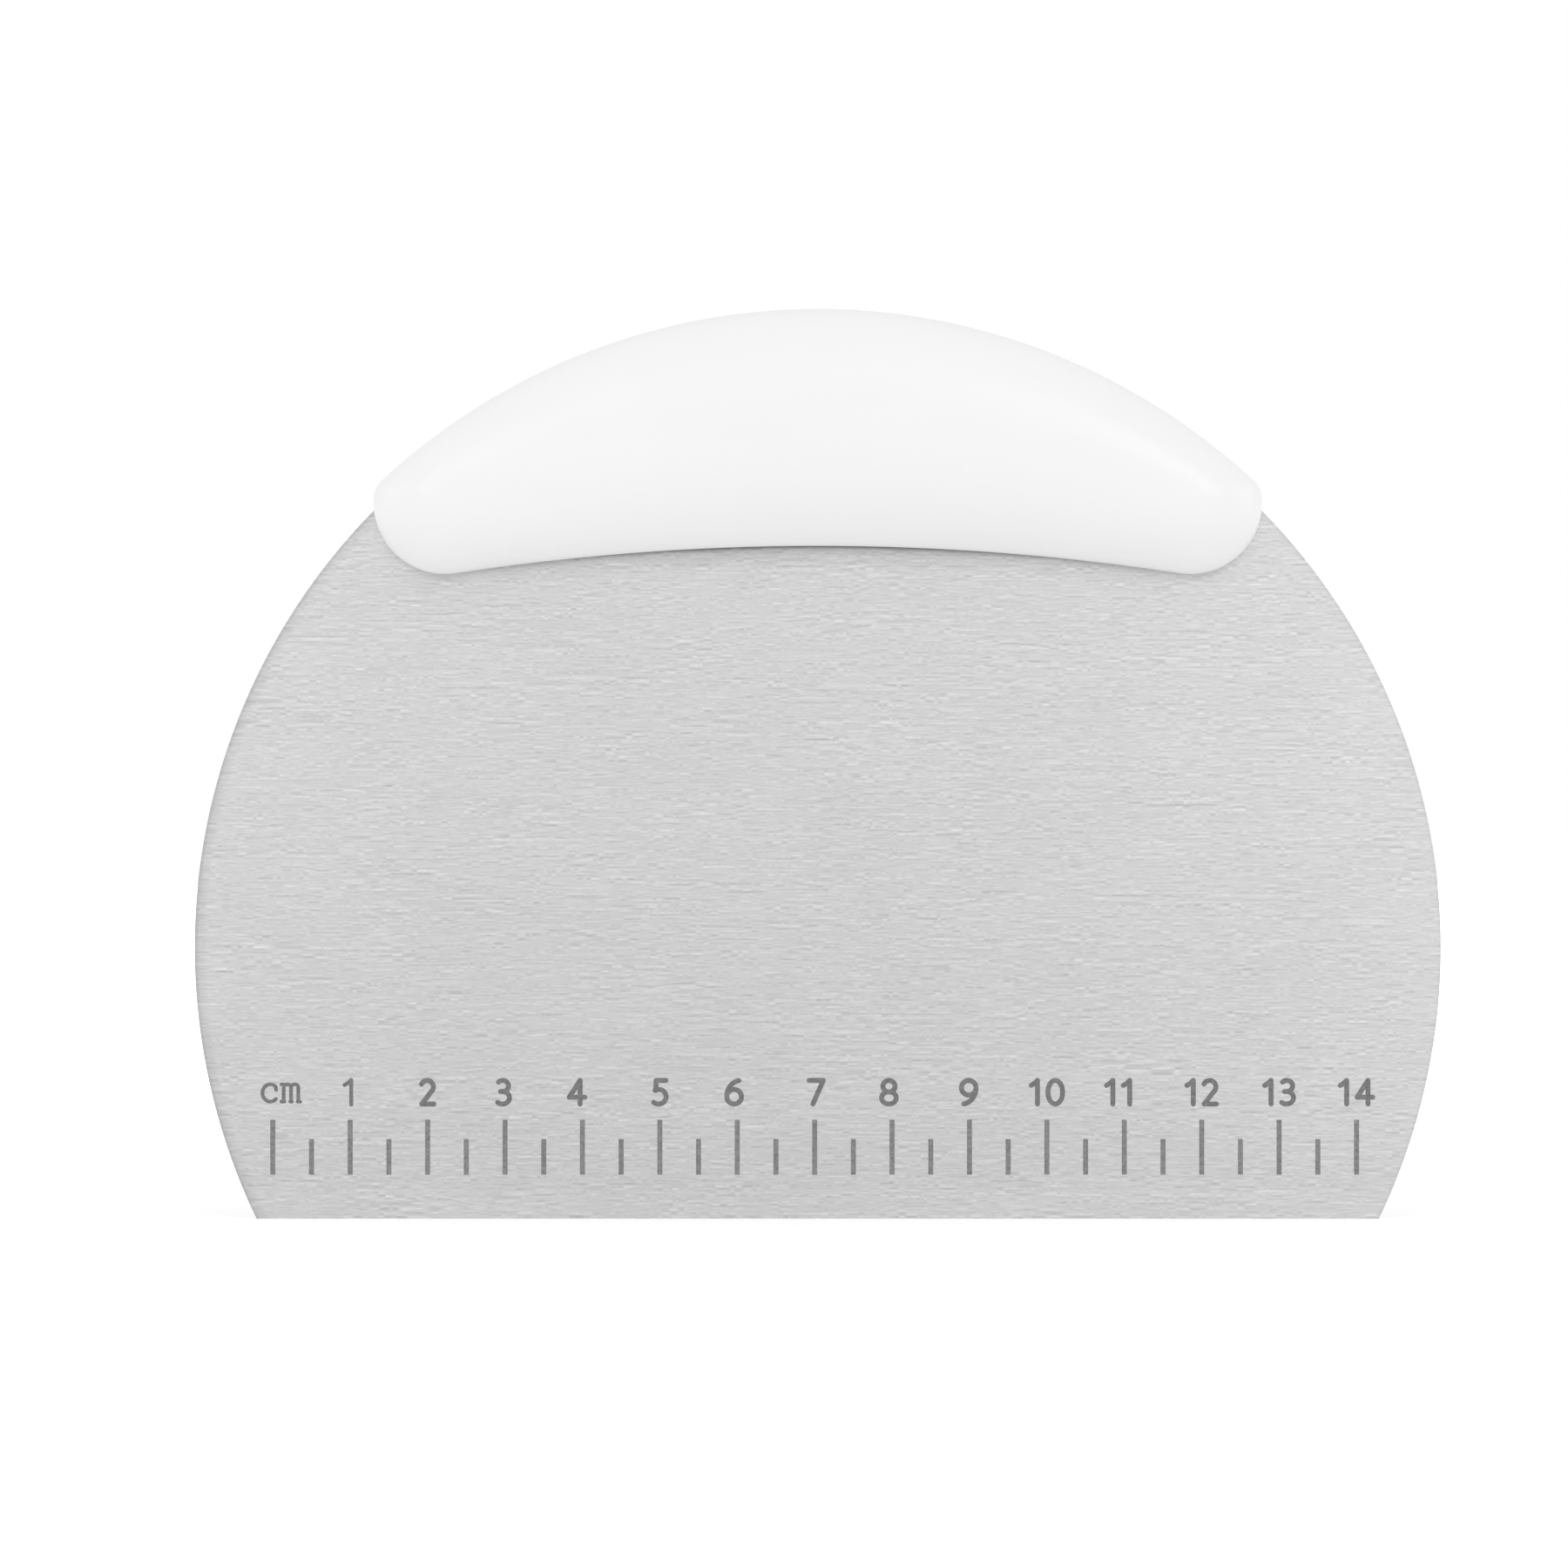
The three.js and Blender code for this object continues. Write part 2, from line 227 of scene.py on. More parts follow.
def new_tree(name, inputs):
    """A geometry tree with named inputs; gives the tree and the sockets of those inputs."""
    tree = bpy.data.node_groups.new(name, "GeometryNodeTree")
    tree.interface.new_socket("Geometry", in_out="INPUT", socket_type="NodeSocketGeometry")
    tree.interface.new_socket("Geometry", in_out="OUTPUT", socket_type="NodeSocketGeometry")
    for label, kind in inputs.items():
        socket_type, subtype = SOCKET_KINDS[kind]
        socket = tree.interface.new_socket(label, in_out="INPUT", socket_type=socket_type)
        if subtype:
            socket.subtype = subtype
    return tree, tree.nodes.new("NodeGroupInput").outputs


def plug(tree, socket, value):
    """Links a socket to another one, or sets a plain value on the socket itself."""
    if isinstance(value, bpy.types.NodeSocket):
        tree.links.new(value, socket)
    elif value is not None:
        socket.default_value = value


def feed(tree, node, values):
    """Plugs values into a node's inputs by their names."""
    for name, value in values.items():
        plug(tree, node.inputs[name], value)


def wire(tree, kind, *values, **settings):
    """Adds a node, sets it up, feeds its inputs in their order and gives its first output."""
    node = tree.nodes.new(kind)
    for name, value in settings.items():
        setattr(node, name, value)
    sockets = [socket for socket in node.inputs if not socket.is_unavailable]
    for socket, value in zip(sockets, values):
        plug(tree, socket, value)
    return next((socket for socket in node.outputs if not socket.is_unavailable), None)


def sums(tree, operation, *values):
    """One step of arithmetic on numbers."""
    return wire(tree, "ShaderNodeMath", *values, operation=operation)


def vectors(tree, operation, *values):
    """One step of arithmetic on vectors."""
    return wire(tree, "ShaderNodeVectorMath", *values, operation=operation)


def blend(tree, share, low, high):
    """A number between two others."""
    return wire(tree, "ShaderNodeMix", share, low, high, data_type="FLOAT", clamp_factor=False)


def choose(tree, test, otherwise, chosen):
    """One of two numbers."""
    return wire(tree, "GeometryNodeSwitch", test, otherwise, chosen, input_type="FLOAT")


def ramp(tree, value, low, high, to_low, to_high):
    """Carries a range of numbers over to another, and stops at its ends."""
    return wire(tree, "ShaderNodeMapRange", value, low, high, to_low, to_high)


def close_tree(tree, geometry, finish):
    """Ends a tree with real geometry that carries its finish."""
    real = wire(tree, "GeometryNodeRealizeInstances", geometry)
    wire(tree, "NodeGroupOutput", wire(tree, "GeometryNodeSetMaterial", real, None, finish))


def grow(name, tree, values, seed=None):
    """Runs a tree on a seed, with its inputs set by identifier, and gives the result as a plain mesh."""
    source = bpy.data.objects.new(name, seed or bpy.data.meshes.new(name))
    bpy.context.scene.collection.objects.link(source)
    modifier = source.modifiers.new(tree.name, "NODES")
    modifier.node_group = tree
    for item in tree.interface.items_tree:
        if item.in_out == "INPUT" and item.name in values:
            modifier[item.identifier] = values[item.name]
    graph = bpy.context.evaluated_depsgraph_get()
    mesh = bpy.data.meshes.new_from_object(source.evaluated_get(graph), depsgraph=graph)
    bpy.data.objects.remove(source)
    if not mesh.polygons:
        raise RuntimeError(f"{tree.name} made no faces for {name}")
    return mesh


# Solids

def combine(mesh, operation, tools):
    """Joins, cuts or intersects a closed mesh with others, one after the other."""
    objects = bpy.context.scene.collection.objects
    target = bpy.data.objects.new("target", mesh)
    objects.link(target)
    helpers = []
    for tool in tools:
        helper = bpy.data.objects.new("tool", tool)
        objects.link(helper)
        helpers.append(helper)
        modifier = target.modifiers.new(operation.title(), "BOOLEAN")
        modifier.operation = operation
        modifier.solver = "MANIFOLD"
        modifier.object = helper
    graph = bpy.context.evaluated_depsgraph_get()
    result = bpy.data.meshes.new_from_object(target.evaluated_get(graph), depsgraph=graph)
    for leftover in [target, *helpers]:
        bpy.data.objects.remove(leftover)
    return result


def bars(diameter, back, front, places, facets=BAR_FACETS):
    """Round bars along Y, from a depth at the back to one at the front, at places (x, z)."""
    body = bmesh.new()
    for x, z in places:
        turn = Matrix.Translation((x, (back + front) / 2, z)) @ Matrix.Rotation(math.pi / 2, 4, "X")
        bmesh.ops.create_cone(
            body, cap_ends=True, segments=facets, radius1=diameter / 2, radius2=diameter / 2,
            depth=abs(back - front), matrix=turn)
    return to_mesh("bars", body)


def blocks(size, places):
    """Square blocks of one size, by the places of their middles."""
    body = bmesh.new()
    for place in places:
        matrix = Matrix.Translation(place) @ Matrix.Diagonal((*size, 1))
        bmesh.ops.create_cube(body, size=1, matrix=matrix)
    return to_mesh("blocks", body)


def to_mesh(name, body):
    """Ends the making of a mesh with its faces turned outwards."""
    bmesh.ops.recalc_face_normals(body, faces=body.faces)
    mesh = bpy.data.meshes.new(name)
    body.to_mesh(mesh)
    body.free()
    return mesh


def check_closed(name, mesh):
    """Stops the script where a piece has a hole, a loose end or faces turned inwards."""
    body = bmesh.new()
    body.from_mesh(mesh)
    open_edges = sum(1 for edge in body.edges if not edge.is_manifold)
    volume = body.calc_volume(signed=True)
    body.free()
    if open_edges or volume <= 0:
        raise RuntimeError(f"{name} isn't a closed solid: {open_edges} open edges, volume {volume:.3g}")


def smooth(mesh):
    """Shades a mesh smooth over its curves and sharp at its creases."""
    mesh.shade_smooth()
    mesh.set_sharp_from_angle(angle=CREASE)


def place_piece(name, mesh, finish, nodes=()):
    """Puts a finished mesh in the scene as a piece of the object."""
    check_closed(name, mesh)
    mesh.name = name
    mesh.materials.clear()
    mesh.materials.append(finish)
    mesh.polygons.foreach_set("material_index", np.zeros(len(mesh.polygons), np.int32))
    smooth(mesh)
    piece = bpy.data.objects.new(name, mesh)
    bpy.context.scene.collection.objects.link(piece)
    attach(piece, BODY)
    if nodes:
        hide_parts(*nodes)


# Patterns of the finishes

NOISE_RANGE = (0.3, 0.7)  # where most of a noise lies
OFF_GRID = 0.5  # shift through the sheet that keeps its faces off a noise's own grid
SCRATCH_RUN = 5  # lengths of a dash over which a scratch keeps its line
SCRATCH_DEPTH = 0.004  # size of the pattern through the sheet, far more than its thickness
FLANK = 0.2  # widths from a scratch's middle to each of its flanks, where its painted light and painted shade lie
DASH_HEIGHT = 2.4  # widths over which neighbouring scratches break off together
DASH_SHIFT = (0.3, OFF_GRID, 0.7)  # sets the breaks apart from the scratches
DASH_RANGE = (0.4, 0.6)  # narrow, which gives the dashes clear ends


def new_finish(name):
    """An empty material; gives the material, its tree, its shader and the object's own coordinates."""
    material = bpy.data.materials.new(name)
    material.use_nodes = True
    tree = material.node_tree
    shader = tree.nodes["Principled BSDF"]
    own = tree.nodes.new("ShaderNodeTexCoord").outputs["Object"]
    return material, tree, shader, own


def grain(tree, own, size, detail=2.0, shift=(0, 0, 0)):
    """Noise from 0 to 1 whose spots have the given sizes along X, Y and Z; the shift is in spots."""
    stretched = wire(tree, "ShaderNodeMapping", own, shift, None, [1 / length for length in size])
    noise = tree.nodes.new("ShaderNodeTexNoise")
    feed(tree, noise, {"Vector": stretched, "Scale": 1, "Detail": detail})
    return noise.outputs["Fac"]


def vary(tree, noise, low, high):
    """A number that follows a noise from one end to another."""
    return ramp(tree, noise, *NOISE_RANGE, low, high)


def scratches(tree, own, length, width):
    """Straight scratches along X, broken into dashes: above 0 on one flank and below 0 on the other, which
    paints light on one flank and shade on the other as if lit from above.
    """
    line_size = (SCRATCH_RUN * length, SCRATCH_DEPTH, width)
    dash_size = (length, SCRATCH_DEPTH, DASH_HEIGHT * width)
    lit_and_shaded_sides = [grain(tree, own, line_size, 1, (0, OFF_GRID, side)) for side in (FLANK, -FLANK)]
    dashes = ramp(tree, grain(tree, own, dash_size, 1, DASH_SHIFT), *DASH_RANGE, -1, 1)
    return sums(tree, "MULTIPLY", dashes, sums(tree, "SUBTRACT", *lit_and_shaded_sides))


def tint(tree, colour, tone):
    """A colour made lighter or darker by a tone that is 1 where it stays as it is."""
    grey = wire(tree, "ShaderNodeCombineColor", tone, tone, tone)
    return wire(tree, "ShaderNodeMix", 1, (*colour, 1), grey, data_type="RGBA", blend_type="MULTIPLY")


def swell(tree, height, strength, distance):
    """A normal that leans with a height pattern."""
    bump = tree.nodes.new("ShaderNodeBump")
    feed(tree, bump, {"Strength": strength, "Distance": distance, "Height": height})
    return bump.outputs["Normal"]


def from_middle(tree, x, z, height):
    """Distance from a point at a height on the blade's middle line, seen from the front."""
    rise = sums(tree, "SUBTRACT", z, height)
    squares = [sums(tree, "MULTIPLY", way, way) for way in (x, rise)]
    return sums(tree, "SQRT", sums(tree, "ADD", *squares))


def seen_directly(tree):
    """1 for the camera, for mirrors and through glass, and 0 for the light that falls on things."""
    path = tree.nodes.new("ShaderNodeLightPath").outputs
    mirrored = sums(tree, "MAXIMUM", path["Is Glossy Ray"], path["Is Transmission Ray"])
    return sums(tree, "MAXIMUM", path["Is Camera Ray"], mirrored)


# Steel

BRUSHING_MAP = "brushing"
BRUSHING_RANGE = (-0.4, 0.4)  # from the painted shade on one flank of a scratch to the painted light on the other
STREAK_SHARE = 0.45  # share of the long scratches in the brushing
# Brightness of places on the steel, where 1 is its open face: painted shade along the left of the rim, a dark
# rim line that is partly painted shade, painted shadow and shade under the lip, and the ground bevel's own
# brightness
LEFT_RIM_SHADE_TONE = 0.84
RIM_LINE_TONE = 0.85
BEVEL_LEVEL = 1.04
LIP_CONTACT_SHADOW_TONE = 0.4
UNDER_LIP_SHADE_TONE = 0.82
LEFT_RIM_SHADE_AT_RIGHT = 0.0  # strength of the painted rim shade at the right, where it is 1 at the left
RIM_LINE_SHADE_AT_RIGHT = 0.5  # the same for the dark line along the rim, whose half that grows to the left is painted shade
BEVEL_BLUR = 0.0002  # half the width over which the bevel's brightness starts
FULL_LIP = 0.25  # share of the lip, from its middle, with the full painted contact shadow and painted shade beneath it


def steel_places(tree, own, blade, handle):
    """Places that are darker or brighter than the open face, as pairs of a mask and a brightness: painted
    shade along the rim and under the lip, and the brighter ground bevel.
    """
    crescent = Crescent(blade, handle)
    x, _, z = wire(tree, "ShaderNodeSeparateXYZ", own).node.outputs
    radius = from_middle(tree, x, z, blade.edge_drop)
    # Painted shade along the rim, full at the left and gone at the right
    rim = (blade.dull_rim, LEFT_RIM_SHADE_AT_RIGHT, LEFT_RIM_SHADE_TONE)
    # A dark line along the rim, half of it even all round and half painted shade that grows to the left
    burr = (blade.burr, RIM_LINE_SHADE_AT_RIGHT, RIM_LINE_TONE)
    places = []
    for width, at_right, level in (rim, burr):
        across = ramp(tree, x, -blade.radius, blade.radius, 1, at_right)
        band = ramp(tree, radius, blade.radius - width, blade.radius, 0, 1)
        places.append((sums(tree, "MULTIPLY", across, band), level))
    bevel_start = (blade.bevel_height - BEVEL_BLUR, blade.bevel_height + BEVEL_BLUR)
    places.append((ramp(tree, z, *bevel_start, 1, 0), BEVEL_LEVEL))
    # Painted contact shadow and painted shade on the steel under the handle's lip, full in the middle and
    # fading towards the lip's ends
    to_lip = sums(tree, "SUBTRACT", handle.lip_radius, from_middle(tree, x, z, crescent.lip_middle))
    lip_end = crescent.half_width - handle.corner_radius
    along_lip = ramp(tree, sums(tree, "ABSOLUTE", x), FULL_LIP * lip_end, lip_end, 1, 0)
    for width, level in ((blade.dull_joint, LIP_CONTACT_SHADOW_TONE), (blade.dull_shade, UNDER_LIP_SHADE_TONE)):
        band = ramp(tree, to_lip, 0, width, 1, 0)
        places.append((sums(tree, "MULTIPLY", along_lip, band), level))
    return places


def steel_finish(settings):
    """Stainless steel brushed along X, with painted light and shade on the scratches' flanks, painted shade
    at its rim and under the lip, and brighter on the ground bevel.
    """
    material, tree, shader, own = new_finish("Brushed steel")
    dashes = scratches(tree, own, length=0.001, width=0.00052)
    streaks = scratches(tree, own, length=0.0028, width=0.00056)
    brushing = blend(tree, STREAK_SHARE, dashes, streaks)
    clouds = vary(tree, grain(tree, own, size=(0.018, 0.03, 0.007)), low=0.985, high=1.015)
    # The steel's colour takes the scratches, whose flanks carry painted light and shade, and a random cloudy
    # tone
    tone = sums(tree, "MULTIPLY", ramp(tree, brushing, *BRUSHING_RANGE, to_low=0.58, to_high=1.42), clouds)
    # The painted shade at the rim and under the lip, and the bevel's own brightness, scale the tone
    for place, level in steel_places(tree, own, settings.blade, settings.handle):
        tone = sums(tree, "MULTIPLY", tone, blend(tree, place, 1.0, level))
    feed(tree, shader, {
        "Base Color": tint(tree, settings.finish.steel, tone),
        "Roughness": ramp(tree, brushing, *BRUSHING_RANGE, to_low=0.38, to_high=0.48),
        "Normal": swell(tree, brushing, strength=0.12, distance=0.00002),
        "Tangent": wire(tree, "ShaderNodeTangent", direction_type="UV_MAP", uv_map=BRUSHING_MAP),
        "Metallic": 1,
        "Anisotropic": 0.85,
    })
    return material


# Etching, plastic and floor

FLOOR_NEAR = 0.12  # up to here the floor has its own fill
FLOOR_FAR = 0.6  # from here on it is white by itself


def etched_finish(name, colour):
    """Dark, matt floor of the etching, mottled by the acid."""
    material, tree, shader, own = new_finish(name)
    mottle = grain(tree, own, size=(0.0005, 0.0005, 0.0004), detail=3.0)
    feed(tree, shader, {
        "Base Color": tint(tree, colour, vary(tree, mottle, low=0.72, high=1.28)),
        "Roughness": vary(tree, mottle, low=0.55, high=0.75),
        "Metallic": 0.3,
    })
    return material


def plastic_finish(settings):
    """Satin white plastic with the faint unevenness of a polished mould."""
    material, tree, shader, own = new_finish("Moulded plastic")
    flow = grain(tree, own, size=(0.03, 0.012, 0.012))
    satin = grain(tree, own, size=(0.00025, 0.00025, 0.00025))
    feed(tree, shader, {
        "Base Color": tint(tree, settings.finish.plastic, vary(tree, flow, low=0.992, high=1.008)),
        "Roughness": vary(tree, flow, low=0.33, high=0.40),
        "Normal": swell(tree, satin, strength=0.06, distance=0.00001),
        "IOR": 1.49,
    })
    return material


def floor_finish(settings):
    """Pale matt floor that is made up to white for the eye and for mirrors, and still takes a shadow."""
    material, tree, shader, own = new_finish("Pale floor")
    speckle = vary(tree, grain(tree, own, size=(0.004, 0.004, 0.004)), low=0.997, high=1.003)
    away = vectors(tree, "LENGTH", own).node.outputs["Value"]
    fill = ramp(tree, away, FLOOR_NEAR, FLOOR_FAR, settings.stage.floor_fill, 1)
    feed(tree, shader, {
        "Base Color": tint(tree, settings.finish.floor, speckle),
        "Roughness": 0.9,
        "Specular IOR Level": 0,
        "Emission Color": WHITE,
        "Emission Strength": sums(tree, "MULTIPLY", seen_directly(tree), fill),
    })
    return material


# Blade

GRIND_FACETS = 8  # facets of the rim beside each ground bevel
FLAT_SHARE = 0.7  # least share of Y in the normal of a flat face
MAP_SCALE = 5  # size of the brushing map on a metre of steel


def blade_ring(blade, inset, y_share):
    """Points round the blade's outline, drawn in by an inset; y_share is -1 in front and 1 behind."""
    radius = blade.radius - inset
    corner = math.asin(-blade.edge_drop / radius)
    bevel = math.asin((blade.bevel_height - blade.edge_drop) / radius)
    grind = np.linspace(corner, bevel, GRIND_FACETS + 1)
    round_part = np.linspace(bevel, math.pi - bevel, blade.rim_facets + 1)
    angles = np.concatenate([grind, round_part[1:-1], math.pi - grind[::-1]])
    points = []
    for angle in angles:
        z = max(blade.edge_drop + radius * math.sin(angle), 0.0)
        ground = min(1, z / blade.bevel_height)
        half = (blade.edge_land + (blade.thickness - blade.edge_land) * ground) / 2
        points.append(Vector((radius * math.cos(angle), y_share * (half - blade.deburr + inset), z)))
    return points


def blade_body(blade):
    """The ground sheet without holes or scale."""
    body = bmesh.new()
    rings = [
        [body.verts.new(point) for point in blade_ring(blade, inset, share)]
        for inset, share in ((blade.deburr, -1), (0, -1), (0, 1), (blade.deburr, 1))]
    count = len(rings[0])
    for outer, inner in zip(rings, rings[1:]):
        for i in range(count - 1):
            body.faces.new((outer[i], outer[i + 1], inner[i + 1], inner[i]))
    for face in (rings[0], rings[-1]):
        body.faces.new(face[GRIND_FACETS:count - GRIND_FACETS])
        body.faces.new([*face[:GRIND_FACETS + 1], *face[count - GRIND_FACETS - 1:]])
    body.faces.new([ring[0] for ring in rings] + [ring[-1] for ring in reversed(rings)])
    return to_mesh("blade", body)


def lay_brushing(mesh, blade):
    """A map whose first direction runs across the scratches, the way that they spread the light."""
    layer = mesh.uv_layers.new(name=BRUSHING_MAP)
    for polygon in mesh.polygons:
        flat = abs(polygon.normal.y) > FLAT_SHARE
        for loop in polygon.loop_indices:
            x, y, z = mesh.vertices[mesh.loops[loop].vertex_index].co
            turn = math.atan2(z - blade.edge_drop, x) % (2 * math.pi)
            across = z if flat else y
            layer.data[loop].uv = (across * MAP_SCALE, x * MAP_SCALE + 0.5 if flat else turn)


def etch(piece, tool):
    """Cuts marks into the face of the blade."""
    plain = piece.data
    piece.data = combine(plain, "DIFFERENCE", [tool])
    bpy.data.meshes.remove(plain)
    piece.data.name = piece.name


# Scale

SIDE_TURN = 9  # degrees that an arc turns at each of its points
LEAST_SIDES = 6  # least number of sides of an arc
END_ANGLES = (30, 55, 75)  # degrees round a stroke's end at which its half round has knots


def scale_line_tree():
    """A row of blocks along X, long and short in turn, that stand on one line."""
    tree, given = new_tree("Scale lines", {
        "Lines": "count", "Spacing": "length", "Shift": "length", "Foot": "length", "Long line": "length",
        "Short line": "length", "Line width": "length", "Floor": "length", "Front": "length",
        "Finish": "finish"})
    half_row = sums(tree, "MULTIPLY", sums(tree, "SUBTRACT", given["Lines"], 1.0), -0.5)
    first = sums(tree, "ADD", given["Shift"], sums(tree, "MULTIPLY", half_row, given["Spacing"]))
    start = wire(tree, "ShaderNodeCombineXYZ", first, given["Front"], given["Foot"])
    step = wire(tree, "ShaderNodeCombineXYZ", given["Spacing"])
    row = wire(tree, "GeometryNodeMeshLine", given["Lines"], start, step)
    cube = wire(tree, "GeometryNodeMeshCube", (1, 1, 1))
    block = wire(tree, "GeometryNodeTransform", cube, (0, 0.5, 0.5))
    number = wire(tree, "GeometryNodeInputIndex")
    between = wire(tree, "FunctionNodeIntegerMath", number, 2, operation="MODULO")
    length = choose(tree, between, given["Long line"], given["Short line"])
    depth = sums(tree, "SUBTRACT", given["Floor"], given["Front"])
    size = wire(tree, "ShaderNodeCombineXYZ", given["Line width"], depth, length)
    lines = wire(tree, "GeometryNodeInstanceOnPoints", row, None, block, None, None, None, size)
    close_tree(tree, lines, given["Finish"])
    return tree


def stroke_tree():
    """Flat strokes of one depth along drawn paths, joined where they meet."""
    tree, given = new_tree("Etched strokes", {"Floor": "length", "Front": "length", "Finish": "finish"})
    across = wire(tree, "GeometryNodeCurvePrimitiveLine", (-1, 0, 0), (1, 0, 0))
    radius = wire(tree, "GeometryNodeInputRadius")
    ribbon = wire(tree, "GeometryNodeCurveToMesh", given["Geometry"], across, radius)
    depth = sums(tree, "SUBTRACT", given["Floor"], given["Front"])
    upward = wire(tree, "ShaderNodeCombineXYZ", 0.0, 0.0, depth)
    raised = wire(tree, "GeometryNodeExtrudeMesh", ribbon, None, upward, 1.0, False)
    both = tree.nodes.new("GeometryNodeJoinGeometry")
    for half in (raised, wire(tree, "GeometryNodeFlipFaces", ribbon)):
        tree.links.new(half, both.inputs["Geometry"])
    solid = wire(tree, "GeometryNodeMergeByDistance", both.outputs["Geometry"], None, WELD)
    joined = tree.nodes.new("GeometryNodeMeshBoolean")
    joined.operation = "UNION"
    joined.solver = "EXACT"
    feed(tree, joined, {"Mesh 2": solid, "Self Intersection": True})
    place = wire(tree, "ShaderNodeCombineXYZ", 0.0, given["Floor"], 0.0)
    turned = wire(tree, "GeometryNodeTransform", joined.outputs["Mesh"], place, (math.pi / 2, 0, 0))
    close_tree(tree, turned, given["Finish"])
    return tree


def bow(x, y, across, up, start, stop):
    """Points along an oval arc, from one angle to another in degrees."""
    sides = max(LEAST_SIDES, round(abs(stop - start) / SIDE_TURN))
    angles = np.radians(np.linspace(start, stop, sides + 1))
    return [(x + across * math.cos(angle), y + up * math.sin(angle)) for angle in angles]


# Middle lines of the numerals' strokes, in heights of the middle lines.
# A stroke that ends where it starts is a loop.
NUMERALS = {
    "0": [bow(0.31, 0.5, 0.31, 0.5, 0, 360)],
    "1": [[(0.0, 0.79), (0.15, 0.88), (0.27, 1.0)], [(0.27, 1.0), (0.27, 0.0)]],
    "2": [bow(0.25, 0.73, 0.265, 0.27, 155, -38) + [(0.02, 0.0)], [(0.02, 0.0), (0.54, 0.0)]],
    "3": [bow(0.22, 0.765, 0.25, 0.235, 135, -90), bow(0.21, 0.265, 0.30, 0.265, 90, -132),
          [(0.13, 0.53), (0.23, 0.53)]],
    "4": [[(0.46, 1.0), (0.0, 0.29)], [(0.0, 0.29), (0.66, 0.29)], [(0.46, 1.0), (0.46, 0.0)]],
    "5": [[(0.11, 1.0), (0.52, 1.0)], [(0.11, 1.0), (0.09, 0.57)],
          bow(0.21, 0.31, 0.32, 0.31, 118, -130)],
    "6": [bow(0.31, 0.31, 0.31, 0.31, 0, 360), bow(0.60, 0.33, 0.60, 0.67, 180, 98)],
    "7": [[(0.0, 1.0), (0.60, 1.0)], [(0.60, 1.0), (0.16, 0.0)]],
    "8": [bow(0.31, 0.755, 0.255, 0.245, 0, 360), bow(0.31, 0.26, 0.31, 0.26, 0, 360)],
    "9": [bow(0.31, 0.69, 0.31, 0.31, 0, 360), bow(0.02, 0.67, 0.60, 0.67, 0, -82)],
}
UNIT = {
    "c": [bow(0.46, 0.5, 0.46, 0.5, 48, 316), [(0.77, 0.87), (0.80, 0.68)]],
    "m": [[(0.13, 0.0), (0.13, 1.0)], [(0.56, 0.0), (0.56, 0.86)], [(0.98, 0.0), (0.98, 0.86)],
          bow(0.345, 0.84, 0.215, 0.16, 180, 0), bow(0.77, 0.84, 0.21, 0.16, 180, 0),
          [(0.0, 1.0), (0.13, 1.0)], [(0.0, 0.0), (0.17, 0.0)], [(0.51, 0.0), (0.61, 0.0)],
          [(0.93, 0.0), (1.09, 0.0)]],
}
# The numerals that stand beside their lines by more than a hair, in metres along X
NUMERAL_SHIFTS = {
    "1": -0.0003, "3": -0.0002, "4": -0.0007, "6": -0.0004, "7": 0.0002, "8": -0.0004, "9": -0.0001,
    "11": -0.0008}
UNIT_SHIFT = 0.0011  # middle of the unit mark from the first line
UNIT_LIFT = 0.0004  # foot of the unit mark above the numerals'
UNIT_GAP = 0.0002


def draw_word(curve, letters, word, middle, foot, height, stroke, gap):
    """Draws the middle lines of a word's strokes, centred over a place on the scale."""
    tall = height - stroke
    widths = [max(x for line in letters[letter] for x, _ in line) * tall for letter in word]
    pen = middle - (sum(widths) + (stroke + gap) * (len(word) - 1)) / 2
    for letter, width in zip(word, widths):
        for line in letters[letter]:
            points = [(pen + x * tall, foot + stroke / 2 + y * tall) for x, y in line]
            draw_stroke(curve, points, stroke / 2)
        pen += width + stroke + gap


def draw_stroke(curve, points, half):
    """Adds one path to a curve; its radius is half the stroke's width and closes in at round ends."""
    points = [Vector((x, y, 0)) for x, y in points]
    loop = (points[0] - points[-1]).length < WELD
    knots = [(point, half) for point in (points[:-1] if loop else points)]
    if not loop:
        start = round_end(points[1], points[0], half)
        knots = start[::-1] + knots + round_end(points[-2], points[-1], half)
    spline = curve.splines.new("POLY")
    spline.points.add(len(knots) - 1)
    spline.use_cyclic_u = loop
    for knot, (place, radius) in zip(spline.points, knots):
        knot.co = (*place, 1)
        knot.radius = radius


def round_end(before, end, half):
    """Knots past the end of a stroke that close it with a half round."""
    ahead = (end - before).normalized()
    angles = np.radians(END_ANGLES)
    return [(end + ahead * half * math.sin(angle), half * math.cos(angle)) for angle in angles]


def mark_words(scale):
    """All the numerals and the unit mark as one flat curve, drawn with Y for the height on the blade."""
    curve = bpy.data.curves.new("scale_words", "CURVE")
    curve.dimensions = "3D"
    start = scale.shift - scale.centimetres * CENTIMETRE / 2
    for number in range(1, scale.centimetres + 1):
        word = str(number)
        middle = start + number * CENTIMETRE + NUMERAL_SHIFTS.get(word, 0)
        stroke = scale.lone_stroke if word == "1" else scale.numeral_stroke
        draw_word(curve, NUMERALS, word, middle, scale.numeral_foot, scale.numeral_height, stroke,
                  scale.numeral_gap)
    draw_word(curve, UNIT, "cm", start + UNIT_SHIFT, scale.numeral_foot + UNIT_LIFT, scale.unit_height,
              scale.unit_stroke, UNIT_GAP)
    return curve


# Handle

ARC_POINTS = 240  # points on each arc of the outline
LEAST_RADIUS = 0.0003  # corners drawn in further than their roundness keep this much of it
RIDGE_POINTS = 121  # points along the ridge
FAN_POINTS = 65  # directions round each of its ends
FOOT_LAYER = "ridge_foot"
PARALLEL = 1e-15  # least turn between a ray and a side that it can meet
SIDE_SLACK = 1e-6  # share of a side by which a ray may pass its end
NEAREST_HIT = 1e-5  # least distance at which a ray meets a side


